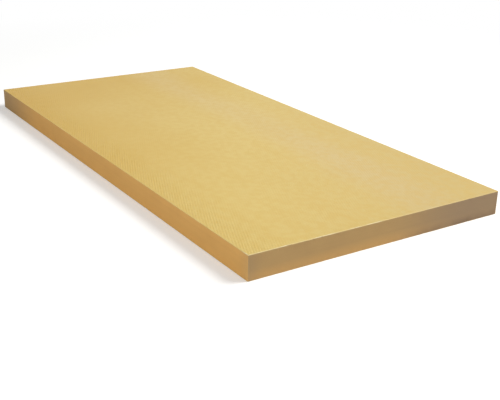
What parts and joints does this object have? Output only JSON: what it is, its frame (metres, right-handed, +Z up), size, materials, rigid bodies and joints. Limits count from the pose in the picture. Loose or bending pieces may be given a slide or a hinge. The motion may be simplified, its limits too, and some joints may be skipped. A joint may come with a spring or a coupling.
{
  "type": "xps insulation board",
  "caption": "Flat rigid foam insulation board with square butt edges and an embossed waffle surface, for laying in floors, walls or flat roofs.",
  "frame": {"origin": "centre of the lower broad face", "axes": "+X along the board's length, +Y across its width, +Z up through its thickness"},
  "size_m": [1.25, 0.6, 0.05],
  "materials": {
    "xps_foam": "pale ochre extruded foam, matt, with a slight sheen on the embossed faces"
  },
  "bodies": {
    "root": {"insulation_board": "xps_foam"}
  },
  "joints": []
}
